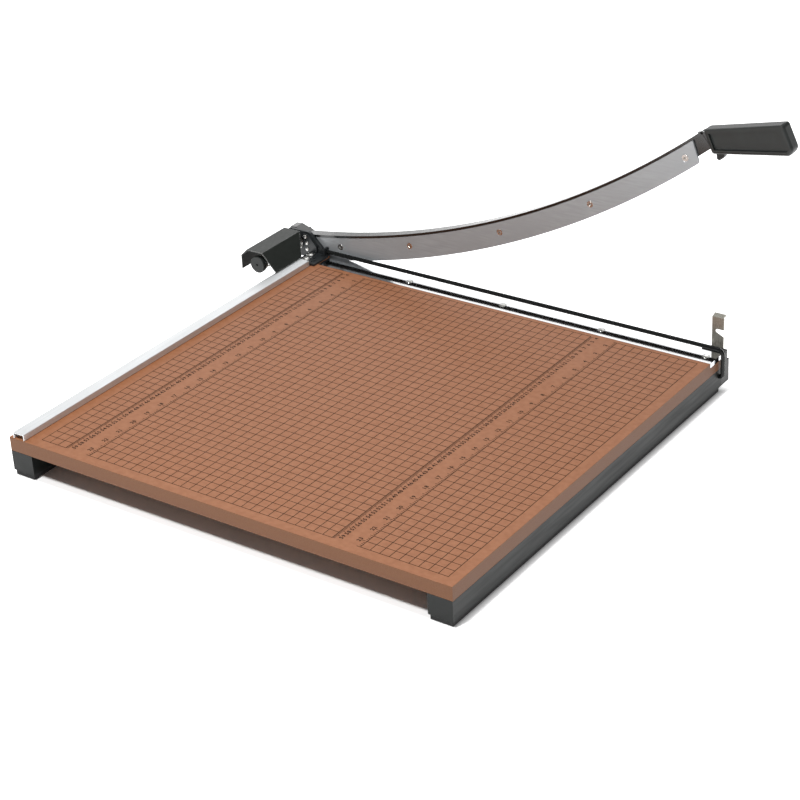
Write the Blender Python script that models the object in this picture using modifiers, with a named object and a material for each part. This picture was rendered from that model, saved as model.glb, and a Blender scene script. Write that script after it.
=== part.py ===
"""Guillotine paper cutter with a 24 inch board: board, rails, ledger, guard, sprung arm and latch.

Units are metres, +Z is up. Inside the frame empty, X runs towards the cutting edge and is zero on the
left-most printed line, Y runs towards the fence and is zero on the front-most printed line, and Z is
zero on the face of the board. The empty stands the model with the centre of its box on the origin.
"""
import bpy
import bmesh
from math import cos, pi, radians, sin, sqrt
from mathutils import Matrix, Vector

# ---------------------------------------------------------------- driving dimensions
GAP = 0.0003                    # air left between touching pieces

FRAME_PLACE = (-0.30475, -0.28747, 0.0520)   # centre of the whole box, with the strips on the table

BOARD_LEFT = -0.0145
BOARD_RIGHT = 0.5955
BOARD_FRONT = -0.0145
BOARD_BACK = 0.6245
BOARD_THICK = 0.0185

CUT_X = 0.5969                  # plane in which the blade shears
LEDGER_WIDTH = 0.0306
LEDGER_THICK = 0.0060
LEDGER_BACK = 0.5935
LEDGER_SCREW_STEP = 0.150
LEDGER_SCREWS = 4

RAIL_WIDTH = 0.0330
RAIL_HEIGHT = 0.0265
STRIP_HEIGHT = 0.0064
STRIP_INSET = 0.0015            # the rubber strip stands back from the rail's sides and ends

FENCE_Y = 0.6000
FENCE_WIDTH = 0.0174
FENCE_HEIGHT = 0.0082
FENCE_WALL = 0.0013
FENCE_END = 0.5545

PIVOT_Y = 0.6480
PIVOT_Z = 0.0135
SHAFT_RADIUS = 0.0060
HOOD_LEFT = 0.4980
HOOD_RIGHT = 0.5835
HOOD_SHEET = 0.0012

ARM_CENTRE = (0.8057, 1.2648)   # Y and Z of the centre of the arm's long arc, arm as modelled
ARM_RADIUS = 1.2529             # middle of the top flange
ARM_FLANGE = 0.0032
ARM_LIP_X = CUT_X               # the flange ends in the cutting plane, clear of the ledger
ARM_OUT_X = 0.6115
WEB_X = (0.5997, 0.6047)
WEB_RADIUS = 1.2750
ARM_TAIL = radians(7.7)         # angles from straight down, about the arc's centre
ARM_NECK = radians(38.7)
TAIL_X = (0.5972, 0.6130)        # the tail's thickness beside the upright
TAIL_OUTLINE = ((0.6310, 0.0245), (0.6535, 0.0320), (0.6630, 0.0310), (0.6680, 0.0200), (0.6650, 0.0030),
                (0.6560, -0.0040), (0.6400, -0.0040), (0.6315, 0.0050))

BLADE_THICK = 0.0025
EDGE_CENTRE = (0.8178, 1.2624)  # centre of the curved cutting edge
EDGE_RADIUS = 1.2880
BLADE_TIP = radians(38.0)
BLADE_HEEL = radians(8.6)
TIP_CUT = ((0.0331, 0.2767), (0.0234, 0.2496))   # Y and Z at the top and bottom of the blade's end
GRIND = 0.0035                  # height of the ground bevel along the edge
BLADE_SCREW_ANGLES = (radians(37.0), radians(29.8), radians(22.9), radians(15.9), radians(10.4))
BLADE_SCREW_RADIUS = 1.2685
BLADE_SCREW_HEAD = 0.0044       # radius of the countersunk head, flush with the blade's back
BLADE_SCREW_SINK = 0.0020       # depth of the head

ARM_CLOSED = radians(-21.5)     # arm angle at the end of the cut, from the modelled pose

ROD_RADIUS = 0.0029
ROD_X = 0.5912
ROD_Z = 0.0086
ROD_LEG_Y = -0.0188
ROD_HOOK_Z = -0.0290
ROD_BEND = 0.0080
ROD_HOOK_BEND = 0.0041

LATCH_Y = 0.0
LATCH_Z = -0.0070
LATCH_X = 0.6123
LATCH_SHEET = 0.0016
LATCH_SEAT = (0.0002, 0.0285)   # catch pin's seat in the hook, from the hook's pin
LATCH_LOCKED = radians(25.0)
CATCH_RADIUS = 0.0025
CATCH_HEAD = 0.0030             # small enough to pass in front of the hook's tab
TAB_Y = (-0.0070, 0.0080)       # width of the tab on top of the hook

HANDLE_X = (0.5930, 0.6120)
PANEL_DEPTH = 0.0028
PANEL_BORDER = 0.0055
HANDLE_OUTLINE = ((0.0180, 0.2940), (-0.0860, 0.3180), (-0.1000, 0.2885), (-0.0955, 0.2805), (0.0050, 0.2645))
HANDLE_TILT = radians(12.0)     # the grip's long axis, above the horizontal
TANG_START = (0.0260, 0.2800)
TANG_LENGTH = 0.1060
TANG_HEIGHT = 0.0140

COLOURS = {                     # base colour, metallic, roughness
    "board_brown": ((0.470, 0.212, 0.105), 0.0, 0.45),
    "rail_black": ((0.018, 0.022, 0.020), 0.0, 0.50),
    "pad_rubber": ((0.012, 0.012, 0.012), 0.0, 0.85),
    "fence_aluminium": ((0.600, 0.620, 0.640), 1.0, 0.35),
    "bright_steel": ((0.560, 0.560, 0.570), 1.0, 0.28),
    "blade_steel": ((0.420, 0.420, 0.425), 1.0, 0.30),
    "dark_steel": ((0.060, 0.068, 0.070), 0.9, 0.35),
    "black_paint": ((0.012, 0.013, 0.013), 0.0, 0.30),
    "hood_grey": ((0.040, 0.048, 0.044), 0.0, 0.42),
    "zinc_plate": ((0.560, 0.560, 0.540), 1.0, 0.30),
    "black_plastic": ((0.016, 0.018, 0.017), 0.0, 0.55),
    "spring_steel": ((0.200, 0.190, 0.170), 1.0, 0.32),
    "bronze": ((0.420, 0.270, 0.120), 1.0, 0.40),
}


# ---------------------------------------------------------------- tools of the workshop
def clear_scene():
    for thing in list(bpy.data.objects):
        bpy.data.objects.remove(thing, do_unlink=True)


def collection(name):
    group = bpy.data.collections.new(name)
    bpy.context.scene.collection.children.link(group)
    return group


def finish_material(name):
    if name in bpy.data.materials:
        return bpy.data.materials[name]
    colour, metallic, roughness = COLOURS[name]
    mat = bpy.data.materials.new(name)
    mat.use_nodes = True
    shader = mat.node_tree.nodes["Principled BSDF"]
    shader.inputs["Base Color"].default_value = (*colour, 1.0)
    shader.inputs["Metallic"].default_value = metallic
    shader.inputs["Roughness"].default_value = roughness
    mat.diffuse_color = (*colour, 1.0)
    return mat


def add_piece(name, mesh, material, parent):
    """Put a mesh into the model as a sub-part that rides on an empty."""
    piece = bpy.data.objects.new(name, mesh)
    PARTS.objects.link(piece)
    piece.parent = parent
    mesh.materials.clear()
    mesh.materials.append(finish_material(material))
    return piece


def empty(name, place, parent=None):
    marker = bpy.data.objects.new(name, None)
    marker.location = place
    marker.empty_display_size = 0.02
    PARTS.objects.link(marker)
    marker.parent = parent
    return marker


def mesh_from(build, name="shape", smooth_angle=None):
    bm = bmesh.new()
    build(bm)
    bmesh.ops.recalc_face_normals(bm, faces=bm.faces)
    mesh = bpy.data.meshes.new(name)
    bm.to_mesh(mesh)
    bm.free()
    if smooth_angle is not None:
        mesh.shade_smooth()
        mesh.set_sharp_from_angle(angle=smooth_angle)
    return mesh


def box_mesh(low, high):
    """A block between two corners."""
    size = Vector(high) - Vector(low)
    middle = (Vector(high) + Vector(low)) / 2

    def build(bm):
        bmesh.ops.create_cube(bm, size=1.0)
        place = Matrix.Translation(middle) @ Matrix.Diagonal((*size, 1.0))
        bmesh.ops.transform(bm, matrix=place, verts=bm.verts)
    return mesh_from(build)


def rod_mesh(start, end, radius, sides=24, end_radius=None):
    """A straight round bar between two points."""
    way = Vector(end) - Vector(start)
    turn = way.to_track_quat("Z", "Y").to_matrix().to_4x4()
    place = Matrix.Translation((Vector(start) + Vector(end)) / 2) @ turn
    far_radius = radius if end_radius is None else end_radius

    def build(bm):
        bmesh.ops.create_cone(bm, cap_ends=True, segments=sides, radius1=radius, radius2=far_radius,
                              depth=way.length, matrix=place)
    return mesh_from(build, smooth_angle=radians(40))


def turned_mesh(profile, sides=24):
    """A solid turned about Z from a profile of (radius, height), listed from the top down."""
    def build(bm):
        verts = [bm.verts.new((radius, 0.0, height)) for radius, height in profile]
        edges = [bm.edges.new(pair) for pair in zip(verts, verts[1:])]
        bmesh.ops.spin(bm, geom=verts + edges, cent=(0, 0, 0), axis=(0, 0, 1), angle=2 * pi, steps=sides,
                       use_merge=True, use_duplicate=False)
        bmesh.ops.remove_doubles(bm, verts=bm.verts, dist=0.00001)
    return mesh_from(build, smooth_angle=radians(35))


def plate_mesh(outline, low_x, high_x):
    """A flat plate whose outline is given as (Y, Z) points, between two X planes."""
    curve = bpy.data.curves.new("outline", "CURVE")
    curve.dimensions = "2D"
    curve.fill_mode = "BOTH"
    curve.extrude = (high_x - low_x) / 2
    spline = curve.splines.new("POLY")
    spline.points.add(len(outline) - 1)
    for point, (y, z) in zip(spline.points, outline):
        point.co = (y, z, 0.0, 1.0)
    spline.use_cyclic_u = True
    stand_up = Matrix(((0, 0, 1, (low_x + high_x) / 2), (1, 0, 0, 0), (0, 1, 0, 0), (0, 0, 0, 1)))
    return mesh_from_curve(curve, stand_up)


def mesh_from_curve(curve, place=None):
    """Turn a curve into a closed mesh with its caps welded on."""
    holder = bpy.data.objects.new("holder", curve)
    bpy.context.scene.collection.objects.link(holder)
    if place is not None:
        holder.matrix_world = place
    bpy.context.view_layer.update()
    seen = holder.evaluated_get(bpy.context.evaluated_depsgraph_get())
    mesh = bpy.data.meshes.new_from_object(seen)
    bm = bmesh.new()
    bm.from_mesh(mesh)
    bmesh.ops.remove_doubles(bm, verts=bm.verts, dist=0.00001)
    bmesh.ops.transform(bm, matrix=holder.matrix_world, verts=bm.verts)
    bmesh.ops.recalc_face_normals(bm, faces=bm.faces)
    bm.to_mesh(mesh)
    bm.free()
    bpy.data.objects.remove(holder, do_unlink=True)
    bpy.data.curves.remove(curve)
    return mesh


def wire_mesh(points, radius):
    """A round wire bent through a list of points."""
    curve = bpy.data.curves.new("wire", "CURVE")
    curve.dimensions = "3D"
    curve.bevel_depth = radius
    curve.bevel_resolution = 2
    curve.use_fill_caps = True
    spline = curve.splines.new("POLY")
    spline.points.add(len(points) - 1)
    for point, place in zip(spline.points, points):
        point.co = (*place, 1.0)
    mesh = mesh_from_curve(curve)
    mesh.shade_smooth()
    mesh.set_sharp_from_angle(angle=radians(50))
    return mesh


def boolean(piece, mesh, operation="DIFFERENCE"):
    """Cut a shape out of a piece, or join one to it, in the piece's own frame."""
    tool = bpy.data.objects.new(piece.name + "_tool", mesh)
    CUTTERS.objects.link(tool)
    tool.parent = piece.parent
    tool.hide_render = True
    tool.display_type = "WIRE"
    modifier = piece.modifiers.new(operation.lower(), "BOOLEAN")
    modifier.operation = operation
    modifier.solver = "EXACT"
    modifier.object = tool
    return tool


def round_edges(piece, width, segments=2, angle=radians(40)):
    modifier = piece.modifiers.new("rounded", "BEVEL")
    modifier.width = width
    modifier.segments = segments
    modifier.limit_method = "ANGLE"
    modifier.angle_limit = angle


def arc(centre, radius, start, end, steps):
    """Points on an arc, as (Y, Z), with angles from +Y towards +Z."""
    turns = [start + (end - start) * i / steps for i in range(steps + 1)]
    return [(centre[0] + radius * cos(a), centre[1] + radius * sin(a)) for a in turns]


def turned_about(point, centre, angle):
    """A (Y, Z) point carried round a centre, with positive angles from +Y towards +Z."""
    dy, dz = point[0] - centre[0], point[1] - centre[1]
    return (centre[0] + dy * cos(angle) - dz * sin(angle), centre[1] + dy * sin(angle) + dz * cos(angle))


# ---------------------------------------------------------------- board, rails and feet
def ledger_screw_places():
    middle = CUT_X - GAP - LEDGER_WIDTH / 2
    return [(middle, LEDGER_SCREW_STEP * i) for i in range(LEDGER_SCREWS)]


def rail_screw_places():
    return [(x, y) for y in (BOARD_FRONT + RAIL_WIDTH / 2, BOARD_BACK - RAIL_WIDTH / 2)
            for x in (0.070, 0.290, 0.510)]


def bracket_bolt_places():
    return [(0.5670, 0.6145), (0.5810, 0.6175)]


def board(frame):
    piece = add_piece("base_board", box_mesh((BOARD_LEFT, BOARD_FRONT, -BOARD_THICK),
                                             (BOARD_RIGHT, BOARD_BACK, 0.0)), "board_brown", frame)
    wall = CUT_X - LEDGER_WIDTH - 2 * GAP
    floor = -LEDGER_THICK - GAP
    boolean(piece, box_mesh((wall, BOARD_FRONT - 0.01, floor), (BOARD_RIGHT + 0.01, LEDGER_BACK + GAP, 0.01)))
    for x, y in ledger_screw_places():
        boolean(piece, rod_mesh((x, y, floor + 0.001), (x, y, -0.0165), 0.0020 + GAP, 12))
    for x, y in rail_screw_places():
        boolean(piece, rod_mesh((x, y, -BOARD_THICK - 0.001), (x, y, -0.0075), 0.0022 + GAP, 12))
    for x, y in bracket_bolt_places():
        boolean(piece, rod_mesh((x, y, 0.001), (x, y, -BOARD_THICK - 0.001), 0.0030 + GAP, 12))
    round_edges(piece, 0.0006, 1)


def rail(name, low_y, right_x, frame):
    top = -BOARD_THICK - GAP
    low, high = (BOARD_LEFT, low_y, top - RAIL_HEIGHT), (right_x, low_y + RAIL_WIDTH, top)
    piece = add_piece(name, box_mesh(low, high), "rail_black", frame)
    for x, y in rail_screw_places():
        if low_y < y < low_y + RAIL_WIDTH:
            boolean(piece, rod_mesh((x, y, top + 0.001), (x, y, top - RAIL_HEIGHT - 0.001), 0.0022 + GAP, 12))
            boolean(piece, rod_mesh((x, y, top - 0.0150), (x, y, top - RAIL_HEIGHT - 0.001), 0.0045 + GAP, 16))
    return piece


def rails(frame):
    front = rail("front_rail", BOARD_FRONT, 0.5963, frame)
    boolean(front, rod_mesh((ROD_X, BOARD_FRONT - 0.002, ROD_HOOK_Z), (ROD_X, -0.0010, ROD_HOOK_Z),
                            ROD_RADIUS + GAP, 16))
    for y, z in block_screw_places():
        boolean(front, rod_mesh((0.5973, y, z), (0.5805, y, z), 0.0020 + GAP, 12))
    round_edges(front, 0.0008, 1)
    rear = rail("rear_rail", BOARD_BACK - RAIL_WIDTH, BOARD_RIGHT, frame)
    boolean(rear, box_mesh((0.5600, 0.6085, -0.0200), (0.5870, 0.6235, -BOARD_THICK + 0.001)))
    round_edges(rear, 0.0008, 1)


def screw_mesh(head_radius, head_height, shank_radius, length, domed=False):
    """A screw standing on its point: head on top, face of the head at height zero."""
    if domed:
        crown = [(head_radius * sin(a), head_height * (cos(a) - 1)) for a in (0, 0.4, 0.8, 1.2, pi / 2)]
        profile = crown + [(shank_radius, -head_height)]
    else:
        profile = [(0.0, 0.0), (head_radius, 0.0), (shank_radius, -head_height)]
    profile += [(shank_radius, -length + shank_radius), (0.0, -length)]
    return turned_mesh(profile, 16)


def rail_screws(frame):
    length = 0.0200
    shape = screw_mesh(0.0042, 0.0025, 0.0021, length)
    seat = -BOARD_THICK - GAP - 0.0150 - 0.0030
    for number, (x, y) in enumerate(rail_screw_places(), 1):
        piece = add_piece("rail_screw_%d" % number, shape, "zinc_plate", frame)
        piece.location = (x, y, seat)
        piece.rotation_euler = (pi, 0.0, 0.0)


def feet(frame):
    """Rubber strip under each rail, a little narrower and shorter than the rail."""
    top = -BOARD_THICK - 2 * GAP - RAIL_HEIGHT
    for end, rail_front in (("front", BOARD_FRONT), ("rear", BOARD_BACK - RAIL_WIDTH)):
        low = (BOARD_LEFT + STRIP_INSET, rail_front + STRIP_INSET, top - STRIP_HEIGHT)
        high = (BOARD_RIGHT - STRIP_INSET, rail_front + RAIL_WIDTH - STRIP_INSET, top)
        piece = add_piece("foot_" + end, box_mesh(low, high), "pad_rubber", frame)
        round_edges(piece, 0.0010, 2)


# ---------------------------------------------------------------- ledger, fence and guard
def ledger(frame):
    left = CUT_X - GAP - LEDGER_WIDTH
    piece = add_piece("ledger_blade", box_mesh((left, BOARD_FRONT, -LEDGER_THICK),
                                               (CUT_X - GAP, LEDGER_BACK, 0.0)), "bright_steel", frame)
    for x, y in ledger_screw_places():
        boolean(piece, rod_mesh((x, y, 0.0010), (x, y, -LEDGER_THICK - 0.001), 0.0020 + GAP, 16))
        boolean(piece, rod_mesh((x, y, 0.0010), (x, y, -0.0028), 0.0060 + GAP, 16, 0.0022 + GAP))
    shape = screw_mesh(0.0046, 0.0024, 0.0020, 0.0160)
    for number, (x, y) in enumerate(ledger_screw_places(), 1):
        screw = add_piece("ledger_screw_%d" % number, shape, "zinc_plate", frame)
        screw.location = (x, y, -0.0002)


def fence(frame):
    low, high = (BOARD_LEFT, FENCE_Y, GAP), (FENCE_END, FENCE_Y + FENCE_WIDTH, FENCE_HEIGHT + GAP)
    piece = add_piece("fence", box_mesh(low, high), "fence_aluminium", frame)
    boolean(piece, box_mesh((BOARD_LEFT - 0.01, FENCE_Y + FENCE_WALL, -0.01),
                            (FENCE_END + 0.01, FENCE_Y + FENCE_WIDTH - FENCE_WALL, FENCE_HEIGHT - FENCE_WALL)))
    round_edges(piece, 0.0004, 1)


def rod_points():
    """Centre line of the guard: back end, along the ledger, down the front and back into the rail."""
    top_bend = (ROD_LEG_Y + ROD_BEND, ROD_Z - ROD_BEND)
    hook_bend = (ROD_LEG_Y + ROD_HOOK_BEND, ROD_HOOK_Z + ROD_HOOK_BEND)
    route = [(0.6005, ROD_Z), (0.3000, ROD_Z)]
    route += arc(top_bend, ROD_BEND, pi / 2, pi, 6)
    route += arc(hook_bend, ROD_HOOK_BEND, pi, 1.5 * pi, 5)
    route += [(-0.0022, ROD_HOOK_Z)]
    return [(ROD_X, y, z) for y, z in route]


def guard_rod(frame):
    add_piece("guard_rod", wire_mesh(rod_points(), ROD_RADIUS), "black_paint", frame)


# ---------------------------------------------------------------- pivot bracket and spring hood
BASE_THICK = 0.0030
FLANGE_X = (0.5877, 0.5907)
UPRIGHT_X = (0.5910, 0.5953)
RIVETS = ((0.6305, 0.0255), (0.6280, 0.0165), (0.6280, 0.0070))


def pivot_base(frame):
    """Angle plate on the board's corner, with an ear that holds the guard's back end."""
    low = (0.5568, LEDGER_BACK + 2 * GAP, GAP)
    piece = add_piece("pivot_base", box_mesh(low, (FLANGE_X[1], 0.6243, GAP + BASE_THICK)), "dark_steel", frame)
    flange = [(0.6120, 0.0020), (0.6343, 0.0020), (0.6343, 0.0295), (0.6260, 0.0295), (0.6120, 0.0130)]
    boolean(piece, plate_mesh(flange, *FLANGE_X), "UNION")
    boolean(piece, box_mesh((0.5850, 0.5965, 0.0010), (0.5957, 0.5995, 0.0140)), "UNION")
    boolean(piece, rod_mesh((ROD_X, 0.5900, ROD_Z), (ROD_X, 0.6050, ROD_Z), ROD_RADIUS + GAP, 16))
    for x, y in bracket_bolt_places():
        boolean(piece, rod_mesh((x, y, -0.001), (x, y, 0.008), 0.0030 + GAP, 12))
    for y, z in RIVETS:
        boolean(piece, rod_mesh((0.5860, y, z), (0.5920, y, z), 0.0018 + GAP, 12))


def upright(frame):
    """Plate that stands beside the cutting edge and carries the pivot's bush."""
    outline = [(0.6045, 0.0006), (0.6045, 0.0120), (0.6235, 0.0305), (0.6275, 0.0318), (0.6600, 0.0318),
               (0.6710, 0.0220), (0.6710, -0.0020), (0.6650, -0.0065), (0.6252, -0.0065), (0.6252, 0.0006)]
    piece = add_piece("pivot_upright", plate_mesh(outline, *UPRIGHT_X), "dark_steel", frame)
    boolean(piece, rod_mesh((0.580, PIVOT_Y, PIVOT_Z), (0.600, PIVOT_Y, PIVOT_Z), 0.0080 + GAP, 24))
    for y, z in RIVETS:
        boolean(piece, rod_mesh((0.5900, y, z), (0.5960, y, z), 0.0018 + GAP, 12))


def bracket_fasteners(frame):
    bolt = screw_mesh(0.0058, 0.0030, 0.0030, 0.0265, domed=True)
    for number, (x, y) in enumerate(bracket_bolt_places(), 1):
        piece = add_piece("bracket_bolt_%d" % number, bolt, "zinc_plate", frame)
        piece.location = (x, y, 2 * GAP + BASE_THICK + 0.0030)
    rivet = screw_mesh(0.0030, 0.0016, 0.0018, 0.0088, domed=True)
    for number, (y, z) in enumerate(RIVETS, 1):
        piece = add_piece("upright_rivet_%d" % number, rivet, "zinc_plate", frame)
        piece.location = (FLANGE_X[0] - GAP - 0.0016, y, z)
        piece.rotation_euler = (0.0, -pi / 2, 0.0)


def hood_profile():
    """Bent sheet as (Y, Z, right-hand X) from the front foot over the top to the back edge."""
    return [(0.6140, 0.0100, 0.5560), (0.6364, 0.0343, HOOD_RIGHT), (0.6632, 0.0343, HOOD_RIGHT),
            (0.6739, 0.0240, HOOD_RIGHT), (0.6741, 0.0036, HOOD_RIGHT)]


def hood(frame):
    def build(bm):
        left = [bm.verts.new((HOOD_LEFT, y, z)) for y, z, _ in hood_profile()]
        right = [bm.verts.new((x, y, z)) for y, z, x in hood_profile()]
        for i in range(len(left) - 1):
            bm.faces.new((left[i], left[i + 1], right[i + 1], right[i]))
    mesh = mesh_from(build)
    outward = mesh.polygons[1].normal.z > 0
    piece = add_piece("spring_hood", mesh, "hood_grey", frame)
    sheet = piece.modifiers.new("sheet", "SOLIDIFY")
    sheet.thickness = HOOD_SHEET
    sheet.offset = -1.0 if outward else 1.0
    sheet.use_even_offset = True


def spring_points():
    """Compression spring round the shaft, with closed end turns."""
    radius, start, end, turns, per_turn = 0.0092, 0.5078, 0.5872, 9, 14
    points = []
    for i in range(turns * per_turn + 1):
        share = i / (turns * per_turn)
        eased = share - 0.045 * sin(2 * pi * share)
        angle = 2 * pi * turns * share
        along = start + (end - start) * eased
        points.append((along, PIVOT_Y + radius * cos(angle), PIVOT_Z + radius * sin(angle)))
    return points


def pivot_bearing(frame):
    """Bronze bush in the upright, and the spring with the washer that it pushes on."""
    hole = SHAFT_RADIUS + GAP
    bush = [(hole, 0.0056), (0.0110, 0.0056), (0.0110, 0.0047), (0.0080, 0.0047), (0.0080, 0.0), (hole, 0.0),
            (hole, 0.0056)]
    piece = add_piece("pivot_bush", turned_mesh(bush, 32), "bronze", frame)
    piece.location = (UPRIGHT_X[0], PIVOT_Y, PIVOT_Z)
    piece.rotation_euler = (0.0, pi / 2, 0.0)
    ring = [(hole, 0.0012), (0.0112, 0.0012), (0.0112, 0.0), (hole, 0.0), (hole, 0.0012)]
    piece = add_piece("spring_washer", turned_mesh(ring, 32), "zinc_plate", frame)
    piece.location = (0.5893, PIVOT_Y, PIVOT_Z)
    piece.rotation_euler = (0.0, pi / 2, 0.0)
    add_piece("pressure_spring", wire_mesh(spring_points(), 0.0013), "spring_steel", frame)


# ---------------------------------------------------------------- arm, blade and handle
def on_arm(radius, angle):
    """A (Y, Z) point of the arm, at a radius and an angle about the centre of its long arc."""
    return (ARM_CENTRE[0] - radius * sin(angle), ARM_CENTRE[1] - radius * cos(angle))


def edge_reach(angle):
    """Distance from the arm's arc centre to the cutting edge, along the line at an angle."""
    shift = Vector(EDGE_CENTRE) - Vector(ARM_CENTRE)
    along = shift.dot(Vector((-sin(angle), -cos(angle))))
    return along + sqrt(EDGE_RADIUS ** 2 - shift.length_squared + along ** 2)


def sweep_mesh(section, start, end, steps):
    """Loft a section of (X, radius) points along the arm's arc; the section may change with the angle."""
    def build(bm):
        rings = []
        for i in range(steps + 1):
            angle = start + (end - start) * i / steps
            rings.append([bm.verts.new((x, *on_arm(radius, angle))) for x, radius in section(angle)])
        for one, two in zip(rings, rings[1:]):
            for i in range(len(one)):
                j = (i + 1) % len(one)
                bm.faces.new((one[i], one[j], two[j], two[i]))
        bm.faces.new(rings[0])
        bm.faces.new(rings[-1])
    return mesh_from(build, smooth_angle=radians(30))


def arm_section(angle):
    """Top flange with the web hanging under it."""
    top, under = ARM_RADIUS - ARM_FLANGE / 2, ARM_RADIUS + ARM_FLANGE / 2
    return [(ARM_LIP_X, top), (ARM_OUT_X, top), (ARM_OUT_X, under), (WEB_X[1], under),
            (WEB_X[1], WEB_RADIUS), (WEB_X[0], WEB_RADIUS), (WEB_X[0], under), (ARM_LIP_X, under)]


def blade_section(angle):
    """Flat back against the ledger, with the edge ground on the outer side."""
    top, edge = ARM_RADIUS + ARM_FLANGE / 2 + 0.0004, edge_reach(angle)
    outer = CUT_X + BLADE_THICK
    return [(CUT_X, top), (outer, top), (outer, edge - GRIND), (CUT_X + 0.0005, edge), (CUT_X, edge)]


def blade_screw_places():
    return [on_arm(BLADE_SCREW_RADIUS, angle) for angle in BLADE_SCREW_ANGLES]


def catch_pin_place():
    """The pin sits in the hook's seat when the arm is down and the hook is locked."""
    seat = turned_about(LATCH_SEAT, (0.0, 0.0), LATCH_LOCKED)
    closed = (LATCH_Y + seat[0], LATCH_Z + seat[1])
    return turned_about(closed, (PIVOT_Y, PIVOT_Z), ARM_CLOSED)


def tang_outline(clearance=0.0, run_out=0.0):
    """Straight bar inside the grip, along the grip's axis; with a clearance it is the grip's pocket."""
    way = Vector((-cos(HANDLE_TILT), sin(HANDLE_TILT)))
    half = Vector((sin(HANDLE_TILT), cos(HANDLE_TILT))) * (TANG_HEIGHT / 2 + clearance)
    start = Vector(TANG_START) - way * run_out
    end = Vector(TANG_START) + way * (TANG_LENGTH + clearance)
    return [tuple(p) for p in (start - half, end - half, end + half, start + half)]


def arm(joint):
    piece = add_piece("arm", sweep_mesh(arm_section, ARM_TAIL, ARM_NECK, 30), "black_paint", joint)
    boolean(piece, plate_mesh(TAIL_OUTLINE, *TAIL_X), "UNION")
    boolean(piece, plate_mesh(tang_outline(), WEB_X[0] + 0.0004, WEB_X[1] - 0.0004), "UNION")
    boolean(piece, rod_mesh((0.590, PIVOT_Y, PIVOT_Z), (0.620, PIVOT_Y, PIVOT_Z), SHAFT_RADIUS + GAP, 24))
    for y, z in blade_screw_places():
        boolean(piece, rod_mesh((0.5980, y, z), (0.6070, y, z), 0.0020 + GAP, 12))
    y, z = catch_pin_place()
    boolean(piece, rod_mesh((0.5980, y, z), (0.6070, y, z), CATCH_RADIUS + GAP, 16))
    return piece


def blade(joint):
    piece = add_piece("blade", sweep_mesh(blade_section, BLADE_HEEL, BLADE_TIP, 40), "blade_steel", joint)
    top, bottom = Vector(TIP_CUT[0]), Vector(TIP_CUT[1])
    run_out = (top - bottom).normalized() * 0.0100
    beyond = Vector((-0.0300, 0.0))
    waste = [bottom - run_out, top + run_out, top + run_out + beyond, bottom - run_out + beyond]
    boolean(piece, plate_mesh([tuple(point) for point in waste], CUT_X - 0.001, CUT_X + BLADE_THICK + 0.001))
    shank = 0.0020
    slope = (BLADE_SCREW_HEAD - shank) / BLADE_SCREW_SINK
    seat = BLADE_SCREW_HEAD + GAP * sqrt(1 + slope ** 2)
    mouth = seat + slope * 0.0010
    for y, z in blade_screw_places():
        boolean(piece, rod_mesh((0.5950, y, z), (0.6010, y, z), shank + GAP, 16))
        boolean(piece, rod_mesh((CUT_X - 0.0010, y, z), (CUT_X + BLADE_SCREW_SINK, y, z), mouth, 16,
                                seat - slope * BLADE_SCREW_SINK))
    shape = screw_mesh(BLADE_SCREW_HEAD, BLADE_SCREW_SINK, shank, 0.0075)
    for number, (y, z) in enumerate(blade_screw_places(), 1):
        screw = add_piece("blade_screw_%d" % number, shape, "zinc_plate", joint)
        screw.location = (CUT_X + 0.0001, y, z)
        screw.rotation_euler = (0.0, -pi / 2, 0.0)


def catch_pin(joint):
    y, z = catch_pin_place()
    profile = [(0.0, 0.0168), (CATCH_HEAD, 0.0168), (CATCH_HEAD, 0.0150), (CATCH_RADIUS, 0.0150),
               (CATCH_RADIUS, 0.0), (0.0, 0.0)]
    piece = add_piece("catch_pin", turned_mesh(profile, 20), "zinc_plate", joint)
    piece.location = (0.6000, y, z)
    piece.rotation_euler = (0.0, pi / 2, 0.0)


def shrunk(outline, margin):
    """A convex outline with every side moved inwards by a margin."""
    count = len(outline)
    middle = sum((Vector(p) for p in outline), Vector((0.0, 0.0))) / count
    lines = []
    for i in range(count):
        a, b = Vector(outline[i]), Vector(outline[(i + 1) % count])
        normal = Vector((b.y - a.y, a.x - b.x)).normalized()
        if (middle - a).dot(normal) < 0:
            normal = -normal
        lines.append((normal, normal.dot(a) + margin))
    points = []
    for i in range(count):
        (n1, d1), (n2, d2) = lines[i - 1], lines[i]
        cross = n1.x * n2.y - n1.y * n2.x
        points.append(((d1 * n2.y - d2 * n1.y) / cross, (n1.x * d2 - n2.x * d1) / cross))
    return points


def handle(joint):
    """Moulded grip with a sunk panel on each side and a small lug under its back end."""
    piece = add_piece("handle", plate_mesh(HANDLE_OUTLINE, *HANDLE_X), "black_plastic", joint)
    round_edges(piece, 0.0035, 3, radians(25))
    lug = [(0.0020, 0.2680), (-0.0105, 0.2700), (-0.0085, 0.2610), (-0.0030, 0.2565), (0.0005, 0.2575)]
    boolean(piece, plate_mesh(lug, 0.5990, 0.6060), "UNION")
    panel = shrunk(HANDLE_OUTLINE, PANEL_BORDER)
    boolean(piece, plate_mesh(panel, HANDLE_X[0] - 0.01, HANDLE_X[0] + PANEL_DEPTH))
    boolean(piece, plate_mesh(panel, HANDLE_X[1] - PANEL_DEPTH, HANDLE_X[1] + 0.01))
    boolean(piece, plate_mesh(tang_outline(GAP, 0.0200), *WEB_X))


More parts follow.
